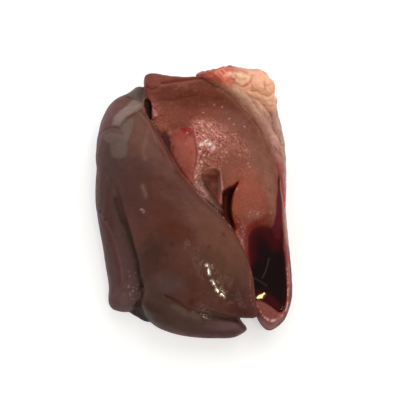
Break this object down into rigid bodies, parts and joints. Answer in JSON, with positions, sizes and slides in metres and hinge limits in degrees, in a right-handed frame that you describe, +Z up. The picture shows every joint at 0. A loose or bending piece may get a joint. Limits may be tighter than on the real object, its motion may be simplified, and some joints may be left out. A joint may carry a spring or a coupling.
{
  "type": "raw beef liver",
  "caption": "Whole raw beef liver folded over on itself: a thick slab with a smooth lobe folded across it, kidney fat at one corner and blood standing in a hollow.",
  "frame": {"origin": "middle of the footprint, on the flat surface that the liver rests on", "axes": "+Z up, +Y along the length towards the end with the kidney fat, +X towards the side with the fat and the blood"},
  "size_m": [0.26, 0.3591, 0.07],
  "materials": {
    "liver_flesh": "wet",
    "kidney_fat": "satin",
    "blood": "gloss"
  },
  "bodies": {
    "root": {"liver": "liver_flesh", "kidney_fat": "kidney_fat", "blood_pool": "blood"}
  },
  "joints": []
}
